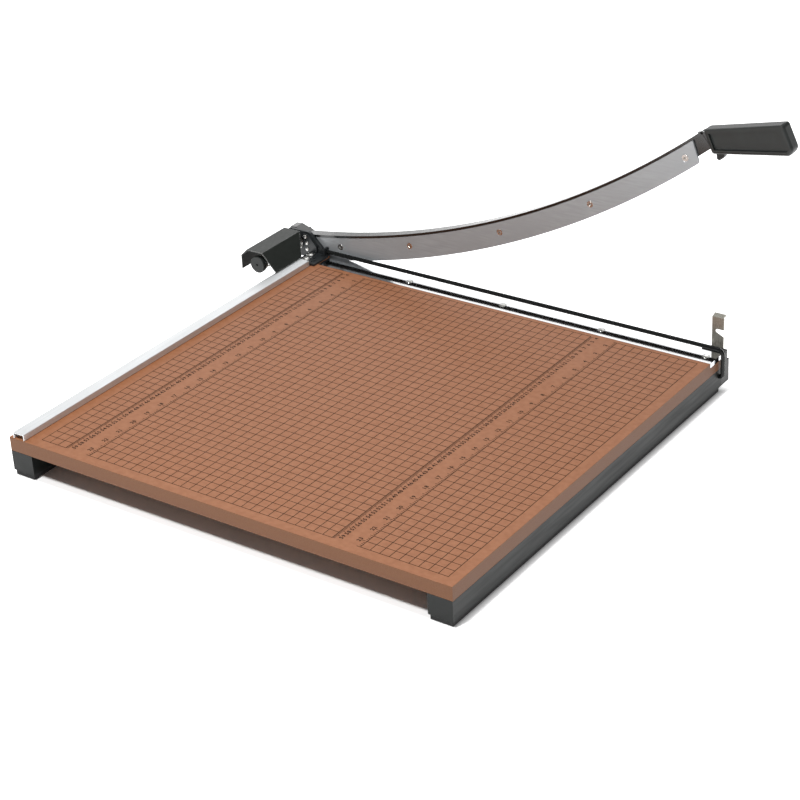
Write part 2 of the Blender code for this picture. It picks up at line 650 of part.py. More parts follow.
def pivot_shaft(joint):
    """Shaft through bush and arm, with the cap at the spring end and a washer and nut outside."""
    start, end = 0.5060, 0.6240
    bar = rod_mesh((start, 0, 0), (end, 0, 0), SHAFT_RADIUS, 24)
    shaft = add_piece("pivot_shaft", bar, "bright_steel", joint)
    shaft.location = (0.0, PIVOT_Y, PIVOT_Z)
    cap = [(0.0016, 0.0062), (0.0112, 0.0062), (0.0120, 0.0054), (0.0120, 0.0), (0.0016, 0.0), (0.0016, 0.0062)]
    piece = add_piece("spring_cap", turned_mesh(cap, 32), "black_plastic", joint)
    piece.location = (start - GAP, PIVOT_Y, PIVOT_Z)
    piece.rotation_euler = (0.0, -pi / 2, 0.0)
    hole = SHAFT_RADIUS + GAP
    ring = [(hole, 0.0016), (0.0115, 0.0016), (0.0115, 0.0), (hole, 0.0), (hole, 0.0016)]
    piece = add_piece("arm_washer", turned_mesh(ring, 32), "zinc_plate", joint)
    piece.location = (0.6133, PIVOT_Y, PIVOT_Z)
    piece.rotation_euler = (0.0, pi / 2, 0.0)
    nut = add_piece("arm_nut", rod_mesh((0.6152, 0, 0), (0.6225, 0, 0), 0.0105, 6), "zinc_plate", joint)
    nut.location = (0.0, PIVOT_Y, PIVOT_Z)
    boolean(nut, rod_mesh((0.610, PIVOT_Y, PIVOT_Z), (0.630, PIVOT_Y, PIVOT_Z), hole, 24))


# ---------------------------------------------------------------- latch at the front corner
def block_screw_places():
    return [(-0.0070, -0.0360), (0.0110, -0.0360)]


def latch_block(frame):
    """Block on the rail's end: a slot lets the blade down, the outer cheek carries the hook."""
    bottom = -BOARD_THICK - GAP - RAIL_HEIGHT
    back = BOARD_FRONT + RAIL_WIDTH
    piece = add_piece("latch_block", box_mesh((0.5966, BOARD_FRONT, bottom), (0.6172, back, -0.0145)),
                      "black_paint", frame)
    boolean(piece, box_mesh((0.5966, BOARD_FRONT, -0.0150), (0.6120, back, 0.0)), "UNION")
    boolean(piece, box_mesh((0.5940, BOARD_FRONT - 0.001, -0.0045), (0.6058, back + 0.001, 0.0010)))
    boolean(piece, box_mesh((0.5940, -0.0105, -0.0100), (0.6058, back + 0.001, 0.0010)))
    boolean(piece, rod_mesh((0.6070, LATCH_Y, LATCH_Z), (0.6130, LATCH_Y, LATCH_Z), 0.0020 + GAP, 16))
    for y, z in block_screw_places():
        boolean(piece, rod_mesh((0.5950, y, z), (0.6180, y, z), 0.0020 + GAP, 12))
        boolean(piece, rod_mesh((0.6142, y, z), (0.6180, y, z), 0.0042 + GAP, 16))
    round_edges(piece, 0.0005, 1)
    shape = screw_mesh(0.0040, 0.0024, 0.0020, 0.0320)
    for number, (y, z) in enumerate(block_screw_places(), 1):
        screw = add_piece("block_screw_%d" % number, shape, "zinc_plate", frame)
        screw.location = (0.6168, y, z)
        screw.rotation_euler = (0.0, pi / 2, 0.0)


def latch_outline():
    """Hook plate about its pin: round foot, straight sides and a notch open to the front."""
    front, back, top, foot = -0.0083, 0.0080, 0.0478, 0.0064
    seat_radius = CATCH_RADIUS + 0.0005
    points = arc((0.0, 0.0), foot, radians(-150), radians(-30), 8)
    points += [(back, 0.0030), (back, top)]
    points += [(front, top), (front, 0.0316)]
    points += arc(LATCH_SEAT, seat_radius, radians(82), radians(-55), 6)
    points += [(front, 0.0211), (front, 0.0030)]
    return points


def latch_hook(joint):
    shape = plate_mesh(latch_outline(), LATCH_X, LATCH_X + LATCH_SHEET)
    piece = add_piece("latch_hook", shape, "spring_steel", joint)
    tab = [(LATCH_X, 0.0462), (LATCH_X, 0.0478), (LATCH_X + 0.0078, 0.0500), (LATCH_X + 0.0093, 0.0484),
           (LATCH_X + 0.0093, 0.0470), (LATCH_X + 0.0077, 0.0470), (LATCH_X + 0.0072, 0.0482)]

    def build(bm):
        face = bm.faces.new([bm.verts.new((x, TAB_Y[0], z)) for x, z in tab])
        grown = bmesh.ops.extrude_face_region(bm, geom=[face])
        moved = [v for v in grown["geom"] if isinstance(v, bmesh.types.BMVert)]
        bmesh.ops.translate(bm, vec=(0.0, TAB_Y[1] - TAB_Y[0], 0.0), verts=moved)
    boolean(piece, mesh_from(build), "UNION")
    boolean(piece, rod_mesh((0.6100, 0, 0), (0.6160, 0, 0), 0.0020 + GAP, 16))
    return piece


def latch_pin(frame):
    profile = [(0.0, 0.0085), (0.0036, 0.0085), (0.0040, 0.0079), (0.0040, 0.0069), (0.0020, 0.0069),
               (0.0020, 0.0), (0.0, 0.0)]
    piece = add_piece("latch_pin", turned_mesh(profile, 20), "zinc_plate", frame)
    piece.location = (0.6073, LATCH_Y, LATCH_Z)
    piece.rotation_euler = (0.0, pi / 2, 0.0)


# ---------------------------------------------------------------- build
clear_scene()
PARTS = collection("guillotine_paper_cutter")
CUTTERS = collection("cutters")
cutter_frame = empty("cutter_frame", FRAME_PLACE)
arm_joint = empty("arm_joint", (0.0, PIVOT_Y, PIVOT_Z), cutter_frame)
arm_space = empty("arm_space", (0.0, -PIVOT_Y, -PIVOT_Z), arm_joint)
latch_joint = empty("latch_joint", (0.0, LATCH_Y, LATCH_Z), cutter_frame)

board(cutter_frame)
rails(cutter_frame)
rail_screws(cutter_frame)
feet(cutter_frame)
ledger(cutter_frame)
fence(cutter_frame)
guard_rod(cutter_frame)
pivot_base(cutter_frame)
upright(cutter_frame)
bracket_fasteners(cutter_frame)
hood(cutter_frame)
pivot_bearing(cutter_frame)
latch_block(cutter_frame)
latch_pin(cutter_frame)
latch_hook(latch_joint)
arm(arm_space)
blade(arm_space)
catch_pin(arm_space)
handle(arm_space)
pivot_shaft(arm_space)
bpy.context.view_layer.update()
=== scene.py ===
from math import cos, pi, radians, sin

import bmesh
import bpy
from mathutils import Matrix, Vector


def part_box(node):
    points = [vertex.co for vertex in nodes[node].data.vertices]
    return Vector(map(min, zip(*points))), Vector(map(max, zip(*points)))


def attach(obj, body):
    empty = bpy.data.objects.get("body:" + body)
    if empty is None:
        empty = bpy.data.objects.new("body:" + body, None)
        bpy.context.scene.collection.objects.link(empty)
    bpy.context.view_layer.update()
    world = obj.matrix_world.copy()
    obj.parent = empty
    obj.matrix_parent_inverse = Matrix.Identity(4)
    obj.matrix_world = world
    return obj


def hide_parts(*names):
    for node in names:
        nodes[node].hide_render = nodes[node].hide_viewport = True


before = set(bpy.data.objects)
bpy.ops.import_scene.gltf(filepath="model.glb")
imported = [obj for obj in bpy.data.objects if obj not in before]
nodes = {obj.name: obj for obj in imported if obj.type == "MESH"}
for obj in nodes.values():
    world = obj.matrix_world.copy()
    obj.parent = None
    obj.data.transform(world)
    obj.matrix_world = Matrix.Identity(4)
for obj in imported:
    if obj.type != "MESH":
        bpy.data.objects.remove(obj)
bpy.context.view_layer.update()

# ------------------------------------------------------------------ board
# A flat board of brown laminate on a composite core, sawn square, with its arrises just broken. The
# colour is a fine mottle of two browns under a satin lacquer. The sawn sides are coloured darker than the
# top as painted shade.
BOARD_FACE = (0.272, 0.108, 0.048)
BOARD_FACE_LIGHT = (0.318, 0.132, 0.062)
# Painted shade: the sides' colours are darker than the top's.
BOARD_SIDE_SHADED = (0.150, 0.062, 0.026)
BOARD_SIDE_SHADED_DARK = (0.118, 0.046, 0.018)


def new_material(name, roughness, metallic=0.0):
    """An empty finish and its shader."""
    mat = bpy.data.materials.new(name)
    mat.use_nodes = True
    shader = mat.node_tree.nodes["Principled BSDF"]
    shader.inputs["Roughness"].default_value = roughness
    shader.inputs["Metallic"].default_value = metallic
    return mat, mat.node_tree, shader


def noise(tree, scale, stretch=(1.0, 1.0, 1.0), detail=4.0):
    """Noise whose size is set in cycles a metre, pulled out along an axis by the stretch."""
    place = tree.nodes.new("ShaderNodeTexCoord")
    mapping = tree.nodes.new("ShaderNodeMapping")
    mapping.inputs["Scale"].default_value = stretch
    pattern = tree.nodes.new("ShaderNodeTexNoise")
    pattern.inputs["Scale"].default_value = scale
    pattern.inputs["Detail"].default_value = detail
    tree.links.new(place.outputs["Object"], mapping.inputs["Vector"])
    tree.links.new(mapping.outputs["Vector"], pattern.inputs["Vector"])
    return pattern.outputs["Fac"]


def spread(tree, value, low, high, out_low=0.0, out_high=1.0):
    """Carry a pattern's range onto another range."""
    step = tree.nodes.new("ShaderNodeMapRange")
    for socket, number in zip(("From Min", "From Max", "To Min", "To Max"), (low, high, out_low, out_high)):
        step.inputs[socket].default_value = number
    tree.links.new(value, step.inputs["Value"])
    return step.outputs["Result"]


def blend_colours(tree, value, one, two):
    """Go from one colour to the other as the value goes from zero to one."""
    mix = tree.nodes.new("ShaderNodeMix")
    mix.data_type = "RGBA"
    tree.links.new(value, mix.inputs["Factor"])
    for socket, colour in ((mix.inputs[6], one), (mix.inputs[7], two)):
        if isinstance(colour, tuple):
            socket.default_value = (*colour, 1.0)
        else:
            tree.links.new(colour, socket)
    return mix.outputs[2]


def vary_roughness(tree, shader, pattern, low, high):
    """Let the roughness follow a pattern that runs from zero to one."""
    tree.links.new(spread(tree, pattern, 0.0, 1.0, low, high), shader.inputs["Roughness"])


def add_bump(tree, shader, height, strength, distance):
    bump = tree.nodes.new("ShaderNodeBump")
    bump.inputs["Strength"].default_value = strength
    bump.inputs["Distance"].default_value = distance
    tree.links.new(height, bump.inputs["Height"])
    tree.links.new(bump.outputs["Normal"], shader.inputs["Normal"])


def facing_up(tree):
    """One on faces that look up, zero on the sides, which get the painted shade."""
    geometry = tree.nodes.new("ShaderNodeNewGeometry")
    split = tree.nodes.new("ShaderNodeSeparateXYZ")
    tree.links.new(geometry.outputs["Normal"], split.inputs["Vector"])
    return spread(tree, split.outputs["Z"], 0.35, 0.85)


def finish_node(name, material):
    """Give a carried-over piece its finish."""
    nodes[name].data.materials.clear()
    nodes[name].data.materials.append(material)


def laminate():
    mat, tree, shader = new_material("brown_laminate", 0.46)
    mottle = spread(tree, noise(tree, 170.0, (1.0, 0.7, 1.0), 8.0), 0.34, 0.68)
    fleck = spread(tree, noise(tree, 2400.0, (1.0, 0.40, 1.0), 3.0), 0.38, 0.66)
    face = blend_colours(tree, mottle, BOARD_FACE, BOARD_FACE_LIGHT)
    # Painted shade: faces that do not look up take the darker side colour.
    shaded_side = blend_colours(tree, fleck, BOARD_SIDE_SHADED, BOARD_SIDE_SHADED_DARK)
    tree.links.new(blend_colours(tree, facing_up(tree), shaded_side, face), shader.inputs["Base Color"])
    vary_roughness(tree, shader, fleck, 0.40, 0.54)
    shader.inputs["Specular IOR Level"].default_value = 0.22
    add_bump(tree, shader, noise(tree, 1400.0, (1.0, 0.3, 1.0), 2.0), 0.10, 0.0002)
    return mat


finish_node("base_board", laminate())

board_low, board_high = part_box("base_board")
PRINT_INSET = 0.0145                     # board's edge to the first printed line
print_origin = Vector((board_low.x + PRINT_INSET, board_low.y + PRINT_INSET, board_high.z))

# ------------------------------------------------------------------ printed grid and rulers
# Half-inch squares screen-printed in dark brown ink, in three blocks. In each of the two gaps between
# them an inch ruler stands on the lower block, and a centimetre ruler hangs from the upper one.
HALF_INCH = 0.0127
INK = (0.012, 0.005, 0.003)
INK_THICK = 0.00006
INK_LIFT = 0.00002
LINE = 0.00080
COLUMNS = 44
BLOCKS = ((0, 9), (12, 40), (43, 46))    # first and last row of each block, in half inches
CUT_HALF_INCHES = 47                     # cutting edge, in half inches from the first line
CUTTING_LINE = CUT_HALF_INCHES * HALF_INCH


def ink_bar(bm, x, y, width, length):
    """A printed bar centred on a place in the print, as a thin closed film."""
    size = (width, length, INK_THICK)
    middle = print_origin + Vector((x, y, INK_LIFT + INK_THICK / 2))
    bmesh.ops.create_cube(bm, size=1.0, matrix=Matrix.Translation(middle) @ Matrix.Diagonal((*size, 1.0)))


def shade(colour, factor):
    """The same colour, lighter or darker by a factor."""
    return tuple(factor * part for part in colour)


def ink_material():
    mat, tree, shader = new_material("printing_ink", 0.50)
    patchy = spread(tree, noise(tree, 260.0), 0.35, 0.70)
    worn = shade(INK, 1.9)
    tree.links.new(blend_colours(tree, patchy, INK, worn), shader.inputs["Base Color"])
    vary_roughness(tree, shader, patchy, 0.48, 0.64)
    shader.inputs["Specular IOR Level"].default_value = 0.10
    return mat


INK_FINISH = ink_material()


def new_piece(name, build, finish):
    """A piece made in mesh code, with its finish."""
    bm = bmesh.new()
    build(bm)
    mesh = bpy.data.meshes.new(name)
    bm.to_mesh(mesh)
    bm.free()
    mesh.materials.append(finish)
    piece = bpy.data.objects.new(name, mesh)
    bpy.context.scene.collection.objects.link(piece)
    return piece


def printed(name, build):
    """A printed piece, which stays on the board."""
    piece = new_piece(name, build, INK_FINISH)
    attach(piece, "base")


def grid_lines(bm):
    width = COLUMNS * HALF_INCH
    for first, last in BLOCKS:
        for row in range(first, last + 1):
            ink_bar(bm, width / 2, row * HALF_INCH, width + LINE, LINE)
        height = (last - first) * HALF_INCH
        for column in range(COLUMNS + 1):
            ink_bar(bm, column * HALF_INCH, (first + last) * HALF_INCH / 2, LINE, height + LINE)


printed("printed_grid", grid_lines)

TICK = 0.00078
INCH_TICKS = ((8, 0.0064), (4, 0.0050), (1, 0.0032))    # eighths that a tick falls on, and its length
CM_TICK = 0.0056
MM_TICK = 0.0034
MM_STEP = 2                              # one tick for every second millimetre
RULER_END = 600                          # in millimetres from the cutting edge
NUMBER_SIZE = 0.0072
NUMBER_BOLD = 0.00022
INCH_NUMBER_RISE = 0.0072                # foot of the number above the ruler's line
CM_NUMBER_DROP = 0.0116                  # foot of the number below the ruler's line
DIGIT_STEP = 0.0042


def digit_meshes():
    """The ten figures, each a thin film of ink."""
    shapes = {}
    for figure in "0123456789":
        curve = bpy.data.curves.new("figure", "FONT")
        curve.body = figure
        curve.size = NUMBER_SIZE
        curve.align_x = "CENTER"
        curve.resolution_u = 2
        curve.offset = NUMBER_BOLD
        curve.extrude = INK_THICK / 2
        holder = bpy.data.objects.new("figure", curve)
        bpy.context.scene.collection.objects.link(holder)
        bpy.context.view_layer.update()
        seen = holder.evaluated_get(bpy.context.evaluated_depsgraph_get())
        shapes[figure] = bpy.data.meshes.new_from_object(seen)
        bpy.data.objects.remove(holder, do_unlink=True)
    return shapes


DIGITS = digit_meshes()


def ink_number(bm, number, x, y):
    """A number centred on x, its foot at y, read from the front of the board."""
    text = str(number)
    for place, figure in enumerate(text):
        shift = (place - (len(text) - 1) / 2) * DIGIT_STEP
        start = len(bm.verts)
        bm.from_mesh(DIGITS[figure])
        bm.verts.ensure_lookup_table()
        where = print_origin + Vector((x + shift, y, INK_LIFT + INK_THICK / 2))
        bmesh.ops.translate(bm, vec=where, verts=bm.verts[start:])


def inch_ruler(row):
    """A ruler in eighths of an inch, standing on a line of the grid."""
    def build(bm):
        for eighth in range(COLUMNS * 4 + 1):
            from_cut = CUT_HALF_INCHES * 4 - eighth
            length = next(size for step, size in INCH_TICKS if from_cut % step == 0)
            ink_bar(bm, eighth * HALF_INCH / 4, row * HALF_INCH + length / 2, TICK, length)
        for column in range(1, COLUMNS + 1, 2):
            ink_number(bm, (CUT_HALF_INCHES - column) // 2, column * HALF_INCH,
                       row * HALF_INCH + INCH_NUMBER_RISE)
    return build


def centimetre_ruler(row):
    """A ruler in centimetres, hanging from a line of the grid."""
    def build(bm):
        top = row * HALF_INCH
        for millimetre in range(0, RULER_END, MM_STEP):
            x = CUTTING_LINE - millimetre / 1000
            if not 0.0 <= x <= COLUMNS * HALF_INCH:
                continue
            length = CM_TICK if millimetre % 10 == 0 else MM_TICK
            ink_bar(bm, x, top - length / 2, TICK, length)
            if millimetre % 10 == 0:
                ink_number(bm, millimetre // 10, x, top - CM_NUMBER_DROP)
    return build


for gap, (lower, upper) in enumerate(zip(BLOCKS, BLOCKS[1:]), 1):
    printed("inch_ruler_%d" % gap, inch_ruler(lower[1]))
    printed("centimetre_ruler_%d" % gap, centimetre_ruler(upper[0]))

# ------------------------------------------------------------------ rails and rubber strips
# Two bars painted black carry the board, each standing on a strip of black rubber that is a little
# narrower and shorter than the bar. Along the arrises the colour is a lighter grey, a painted highlight.
RAIL_PAINT = (0.0075, 0.0085, 0.0080)
RAIL_EDGE_HIGHLIGHT = (0.034, 0.037, 0.035)
RUBBER = (0.010, 0.010, 0.010)


def edge_wear(tree, reach, low, high):
    """One on an arris, from how far the normal turns within a small reach."""
    bevel = tree.nodes.new("ShaderNodeBevel")
    bevel.inputs["Radius"].default_value = reach
    bevel.samples = 4
    geometry = tree.nodes.new("ShaderNodeNewGeometry")
    dot = tree.nodes.new("ShaderNodeVectorMath")
    dot.operation = "DOT_PRODUCT"
    tree.links.new(bevel.outputs["Normal"], dot.inputs[0])
    tree.links.new(geometry.outputs["Normal"], dot.inputs[1])
    return spread(tree, dot.outputs["Value"], high, low)


def rail_paint():
    mat, tree, shader = new_material("rail_paint", 0.44)
    brushed = spread(tree, noise(tree, 60.0, (0.25, 1.0, 3.0), 5.0), 0.35, 0.68)
    body = blend_colours(tree, brushed, RAIL_PAINT, shade(RAIL_PAINT, 1.35))
    # Painted highlight: a lighter grey along the rail's arrises.
    bare_edge_and_highlight = edge_wear(tree, 0.0012, 0.90, 0.995)
    tree.links.new(blend_colours(tree, bare_edge_and_highlight, body, RAIL_EDGE_HIGHLIGHT), shader.inputs["Base Color"])
    vary_roughness(tree, shader, brushed, 0.36, 0.52)
    shader.inputs["Specular IOR Level"].default_value = 0.20
    add_bump(tree, shader, noise(tree, 700.0, (0.4, 1.0, 1.0), 3.0), 0.12, 0.0003)
    return mat


def rubber():
    mat, tree, shader = new_material("strip_rubber", 0.82)
    dusty = spread(tree, noise(tree, 320.0), 0.40, 0.75)
    lighter = shade(RUBBER, 2.2)
    tree.links.new(blend_colours(tree, dusty, RUBBER, lighter), shader.inputs["Base Color"])
    add_bump(tree, shader, noise(tree, 1500.0), 0.25, 0.0003)
    return mat


RAIL_FINISH, RUBBER_FINISH = rail_paint(), rubber()
for end in ("front", "rear"):
    finish_node(end + "_rail", RAIL_FINISH)
    finish_node("foot_" + end, RUBBER_FINISH)

# ------------------------------------------------------------------ ledger
# A ground steel bar let into the board's right edge, polished on top, with its outer corner left sharp
# as the fixed shear. The grinding marks run along it.
POLISHED_STEEL = (0.760, 0.765, 0.775)
POLISHED_DARK = (0.690, 0.697, 0.708)


def ground_steel(name, light, dark, low_rough, high_rough, stretch, metallic=1.0):
    """Bare metal with fine grinding or drawing marks along one axis."""
    mat, tree, shader = new_material(name, (low_rough + high_rough) / 2, metallic)
    marks = spread(tree, noise(tree, 1300.0, stretch, 3.0), 0.34, 0.66)
    cloud = spread(tree, noise(tree, 14.0, detail=3.0), 0.35, 0.65)
    tone = blend_colours(tree, marks, light, dark)
    cloudy = blend_colours(tree, cloud, tone, shade(light, 0.86))
    tree.links.new(cloudy, shader.inputs["Base Color"])
    vary_roughness(tree, shader, marks, low_rough, high_rough)
    add_bump(tree, shader, marks, 0.06, 0.0001)
    return mat


finish_node("ledger_blade", ground_steel("ledger_steel", POLISHED_STEEL, POLISHED_DARK, 0.06, 0.10,
                                         (1.0, 0.012, 1.0)))

# ------------------------------------------------------------------ cross-head screws
# Zinc-plated countersunk screws with a cross recess, flush in the ledger, the blade and the latch
# block. The recess is pressed in with a tapered punch, so it narrows towards the bottom.
ZINC = (0.700, 0.700, 0.680)
ZINC_STAIN = (0.380, 0.370, 0.340)


def zinc():
    mat, tree, shader = new_material("zinc_plate", 0.26, 1.0)
    stain = spread(tree, noise(tree, 420.0, detail=5.0), 0.45, 0.75)
    tree.links.new(blend_colours(tree, stain, ZINC, ZINC_STAIN), shader.inputs["Base Color"])
    vary_roughness(tree, shader, stain, 0.20, 0.42)
    add_bump(tree, shader, noise(tree, 2600.0), 0.10, 0.0001)
    return mat


ZINC_FINISH = zinc()
SHANK = 0.0020
SCREW_SIDES = 40
RIM = 0.0001                             # the head's edge, broken by this much
RECESS_SPAN = 1.10                       # a bar of the cross from end to end, of the head's radius
RECESS_DEPTH = 0.62                      # of the head's depth
RECESS_WIDTH = 0.24                      # of a bar's length
RECESS_TAPER = 0.45                      # a bar's size at the bottom, of its size at the top
RECESS_OVER = 0.0002                     # the cutter stands out of the head's face by this
SHARP = radians(35)
SCREW_TWIST = 0.7                        # each screw was left at its own turn


def turned(bm, profile, sides):
    """Turn a profile of (radius, height) about Z into a closed body."""
    verts = [bm.verts.new((radius, 0.0, height)) for radius, height in profile]
    edges = [bm.edges.new(pair) for pair in zip(verts, verts[1:])]
    bmesh.ops.spin(bm, geom=verts + edges, cent=(0, 0, 0), axis=(0, 0, 1), angle=2 * pi, steps=sides,
                   use_merge=True, use_duplicate=False)
    bmesh.ops.remove_doubles(bm, verts=bm.verts, dist=0.000001)
    bmesh.ops.recalc_face_normals(bm, faces=bm.faces)


def cut_away(piece, build):
    """Cut a shape out of a piece and keep the result as its mesh."""
    cutter = new_piece("cutter", build, ZINC_FINISH)
    cutter.matrix_world = piece.matrix_world.copy()
    modifier = piece.modifiers.new("cut", "BOOLEAN")
    modifier.operation = "DIFFERENCE"
    modifier.solver = "EXACT"
    modifier.object = cutter
    bpy.context.view_layer.update()
    seen = piece.evaluated_get(bpy.context.evaluated_depsgraph_get())
    mesh = bpy.data.meshes.new_from_object(seen)
    piece.modifiers.clear()
    piece.data = mesh
    bpy.data.objects.remove(cutter, do_unlink=True)


def recess_wedge(size, depth, turn):
    """One bar of the cross recess, a wedge that narrows downwards."""
    def build(bm):
        made = bmesh.ops.create_cube(bm, size=1.0)["verts"]
        for vert in made:
            taper = 1.0 if vert.co.z > 0 else RECESS_TAPER
            vert.co = Vector((vert.co.x * size * taper, vert.co.y * size * RECESS_WIDTH * taper,
                              vert.co.z * (depth + RECESS_OVER)))
        place = Matrix.Rotation(turn, 4, "Z") @ Matrix.Translation((0, 0, -depth / 2 + RECESS_OVER / 2))
        bmesh.ops.transform(bm, matrix=place, verts=made)
    return build


def cross_head(radius, sink, length):
    """A screw standing on its point, face at zero, with the recess cut in."""
    face = [(0.0, 0.0), (radius - RIM, 0.0), (radius, -RIM)]

    def build(bm):
        turned(bm, face + [(SHANK, -sink), (SHANK, -length + SHANK), (0.0, -length)], SCREW_SIDES)
    screw = new_piece("screw", build, ZINC_FINISH)
    for turn in (0.0, pi / 2):
        cut_away(screw, recess_wedge(radius * RECESS_SPAN, sink * RECESS_DEPTH, turn))
    screw.data.shade_smooth()
    screw.data.set_sharp_from_angle(angle=SHARP)
    shape = screw.data
    bpy.data.objects.remove(screw, do_unlink=True)
    return shape


def fit_screws(stem, count, shape, way, body):
    """Put a screw in the place of each carried-over one, its face towards the way given."""
    turn = Vector(way).to_track_quat("Z", "Y").to_matrix().to_4x4()
    axis = max(range(3), key=lambda i: abs(way[i]))
    for number in range(1, count + 1):
        node = "%s_%d" % (stem, number)
        low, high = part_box(node)
        place = (low + high) / 2
        place[axis] = high[axis] if way[axis] > 0 else low[axis]
        mesh = shape.copy()
        mesh.name = node + "_cross_head"
        screw = bpy.data.objects.new(mesh.name, mesh)
        bpy.context.scene.collection.objects.link(screw)
        twist = Matrix.Rotation(SCREW_TWIST * number, 4, "Z")
        screw.matrix_world = Matrix.Translation(place) @ turn @ twist
        bpy.context.view_layer.update()
        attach(screw, body)
        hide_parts(node)


fit_screws("ledger_screw", 4, cross_head(0.0046, 0.0024, 0.0160), (0, 0, 1), "base")
fit_screws("blade_screw", 5, cross_head(0.0044, 0.0020, 0.0075), (-1, 0, 0), "arm")
fit_screws("block_screw", 2, cross_head(0.0040, 0.0024, 0.0320), (1, 0, 0), "base")
plated = ["rail_screw_%d" % n for n in range(1, 7)] + ["upright_rivet_%d" % n for n in range(1, 4)]
plated += ["bracket_bolt_1", "bracket_bolt_2", "latch_pin", "catch_pin", "arm_washer", "arm_nut",
           "spring_washer"]
for name in plated:
    finish_node(name, ZINC_FINISH)

# ------------------------------------------------------------------ fence
# A drawn aluminium channel screwed along the back of the board as the paper stop. It is satin anodised,
# with the die's fine lines along it, and open at its left end.
ANODISED = (0.760, 0.775, 0.785)
ANODISED_DARK = (0.640, 0.655, 0.665)
finish_node("fence", ground_steel("fence_anodised", ANODISED, ANODISED_DARK, 0.34, 0.46,
                                  (0.010, 1.0, 1.0), 0.55))

# ------------------------------------------------------------------ guard rod
# A steel rod just under 6 mm thick over the ledger, dipped in gloss black, that keeps fingers off the
# blade. It bends down at the front and turns back into the rail.
GLOSS_BLACK = (0.004, 0.0045, 0.0045)


def gloss_black(name, roughness, coat, specular):
    """Dipped black paint with a faint orange peel."""
    mat, tree, shader = new_material(name, roughness)
    orange_peel = noise(tree, 480.0, detail=2.0)
    film = spread(tree, orange_peel, 0.3, 0.7)
    thin = shade(GLOSS_BLACK, 1.8)
    tree.links.new(blend_colours(tree, film, GLOSS_BLACK, thin), shader.inputs["Base Color"])
    vary_roughness(tree, shader, film, roughness - 0.05, roughness + 0.07)
    shader.inputs["Specular IOR Level"].default_value = specular
    shader.inputs["Coat Weight"].default_value = coat
    shader.inputs["Coat Roughness"].default_value = 0.12
    add_bump(tree, shader, orange_peel, 0.05, 0.0002)
    return mat


finish_node("guard_rod", gloss_black("dipped_black", 0.24, 0.0, 0.22))
finish_node("latch_block", gloss_black("block_black", 0.40, 0.0, 0.40))

# ------------------------------------------------------------------ pivot bracket and spring hood
# An angle plate and an upright of dark coated steel carry the pivot. A bent sheet hood covers the
# pressure spring, painted a dark green-grey with a bright sheared edge.
BRACKET = (0.014, 0.016, 0.017)
HOOD = (0.0085, 0.0105, 0.0088)
SHEARED = (0.420, 0.430, 0.425)


def coated_steel():
    mat, tree, shader = new_material("coated_steel", 0.34, 0.2)
    cloud = spread(tree, noise(tree, 90.0, detail=5.0), 0.35, 0.68)
    tree.links.new(blend_colours(tree, cloud, BRACKET, shade(BRACKET, 1.9)),
                   shader.inputs["Base Color"])
    vary_roughness(tree, shader, cloud, 0.24, 0.44)
    add_bump(tree, shader, noise(tree, 1100.0), 0.08, 0.0002)
    return mat


def hood_paint():
    mat, tree, shader = new_material("hood_paint", 0.40)
    grain = spread(tree, noise(tree, 650.0, (0.15, 1.0, 1.0), 3.0), 0.35, 0.68)
    body = blend_colours(tree, grain, HOOD, shade(HOOD, 1.45))
    bare_edge_and_highlight = edge_wear(tree, 0.0006, 0.80, 0.985)
    tree.links.new(blend_colours(tree, bare_edge_and_highlight, body, SHEARED), shader.inputs["Base Color"])
    vary_roughness(tree, shader, grain, 0.36, 0.50)
    shader.inputs["Specular IOR Level"].default_value = 0.42
    add_bump(tree, shader, grain, 0.06, 0.0002)
    return mat


BRACKET_FINISH = coated_steel()
finish_node("pivot_base", BRACKET_FINISH)
finish_node("pivot_upright", BRACKET_FINISH)
finish_node("spring_hood", hood_paint())

# ------------------------------------------------------------------ shaft, bush and spring
# A ground shaft turns in a sintered bronze bush. A coil spring round it pulls the blade against the
# ledger, held by a moulded cap at the hood's open end.
SPRING = (0.200, 0.190, 0.170)
BRONZE = (0.420, 0.270, 0.120)
finish_node("pivot_shaft", ground_steel("shaft_steel", POLISHED_STEEL, POLISHED_DARK, 0.18, 0.30,
                                        (0.02, 1.0, 1.0)))
finish_node("pressure_spring", ground_steel("spring_wire", SPRING, shade(SPRING, 0.7),
                                            0.28, 0.42, (1.0, 1.0, 1.0)))
finish_node("pivot_bush", ground_steel("sintered_bronze", BRONZE, shade(BRONZE, 0.7),
                                       0.34, 0.52, (1.0, 1.0, 1.0)))

# ------------------------------------------------------------------ blade
# A curved blade of tool steel, ground lengthwise and screwed to the arm's web. Its flat back shears
# against the ledger, and the edge is ground on the far side.
BLADE_STEEL = (0.350, 0.366, 0.378)
BLADE_DARK = (0.285, 0.298, 0.308)
finish_node("blade", ground_steel("blade_ground", BLADE_STEEL, BLADE_DARK, 0.28, 0.36,
                                  (1.0, 0.03, 0.35), 0.22))

# ------------------------------------------------------------------ arm
# A bowed arm with a flat top flange and a web hanging under it, dipped in gloss black. Its flat-sided
# tail turns with the pivot shaft, and a straight tang at the front goes into the grip.
finish_node("arm", gloss_black("arm_black", 0.18, 0.6, 0.5))

# ------------------------------------------------------------------ grip
# A moulded grip of black plastic with a finely sparked surface and a sunk panel on each side. It is
# pushed over the arm's tang, and has a small lug underneath.
GRIP = (0.0055, 0.0072, 0.0066)


